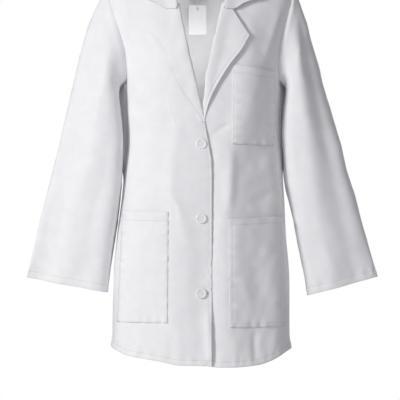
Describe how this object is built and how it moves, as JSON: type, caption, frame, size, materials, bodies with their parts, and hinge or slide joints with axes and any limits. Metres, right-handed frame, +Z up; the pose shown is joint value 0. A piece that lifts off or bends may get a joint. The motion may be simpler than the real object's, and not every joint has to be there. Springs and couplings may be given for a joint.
{
  "type": "lab coat",
  "caption": "White buttoned lab coat with notched collar, patch pockets, long sleeves, hanger loop and swing tag.",
  "frame": {"origin": "hanger rest between the two shoulder lines at the neck", "axes": "+Z up, -Y out of the coat's front, -X to the wearer's right"},
  "size_m": [0.7113, 0.229, 0.8488],
  "materials": {
    "coat_cloth": "matte",
    "interfacing": "matte",
    "label": "satin",
    "thread": "satin",
    "button": "gloss",
    "nylon": "satin",
    "card": "matte"
  },
  "bodies": {
    "coat": {"back_panel": "coat_cloth", "back_neck_facing": "coat_cloth", "right_front": "coat_cloth", "right_facing": "coat_cloth", "left_front": "coat_cloth", "left_facing": "coat_cloth", "neck_label": "label", "upper_collar": "coat_cloth", "collar_interfacing": "interfacing", "under_collar": "coat_cloth", "chest_pocket": "coat_cloth", "left_pocket": "coat_cloth", "right_pocket": "coat_cloth", "buttonhole_stitching": "thread"},
    "right_sleeve_body": {"right_sleeve": "coat_cloth"},
    "left_sleeve_body": {"left_sleeve": "coat_cloth"},
    "button_top_body": {"button_top": "button", "thread_top": "thread"},
    "button_middle_body": {"button_middle": "button", "thread_middle": "thread"},
    "button_bottom_body": {"button_bottom": "button", "thread_bottom": "thread"},
    "hanger_loop_body": {"hanger_loop": "coat_cloth"},
    "tag_fastener_body": {"tag_fastener": "nylon"},
    "swing_tag_body": {"swing_tag": "card"}
  },
  "joints": [
    {"name": "right_sleeve_raise", "type": "hinge", "parent": "coat", "child": "right_sleeve_body", "pos_m": [-0.168, 0, -0.15], "axis": [0, 1, 0], "range_deg": [0, 70]},
    {"name": "left_sleeve_raise", "type": "hinge", "parent": "coat", "child": "left_sleeve_body", "pos_m": [0.1715, 0, -0.15], "axis": [0, -1, 0], "range_deg": [0, 70]},
    {"name": "button_top_twist", "type": "hinge", "parent": "coat", "child": "button_top_body", "pos_m": [0.001, -0.1, -0.373], "axis": [0, -1, 0], "range_deg": [-30, 30], "stiffness_Nm_per_rad": 0.0005},
    {"name": "button_middle_twist", "type": "hinge", "parent": "coat", "child": "button_middle_body", "pos_m": [0.001, -0.1, -0.5205], "axis": [0, -1, 0], "range_deg": [-30, 30], "stiffness_Nm_per_rad": 0.0005},
    {"name": "button_bottom_twist", "type": "hinge", "parent": "coat", "child": "button_bottom_body", "pos_m": [0.001, -0.1, -0.668], "axis": [0, -1, 0], "range_deg": [-30, 30], "stiffness_Nm_per_rad": 0.0005},
    {"name": "hanger_loop_flip", "type": "hinge", "parent": "coat", "child": "hanger_loop_body", "pos_m": [0, 0.049, -0.01], "axis": [-1, 0, 0], "range_deg": [0, 100]},
    {"name": "tag_fastener_swing", "type": "hinge", "parent": "hanger_loop_body", "child": "tag_fastener_body", "pos_m": [-0.007, 0.049, -0.03518], "axis": [-1, 0, 0], "range_deg": [-8, 80]},
    {"name": "swing_tag_swing", "type": "hinge", "parent": "tag_fastener_body", "child": "swing_tag_body", "pos_m": [-0.007, 0.049, -0.094], "axis": [-1, 0, 0], "range_deg": [-15, 15]}
  ]
}
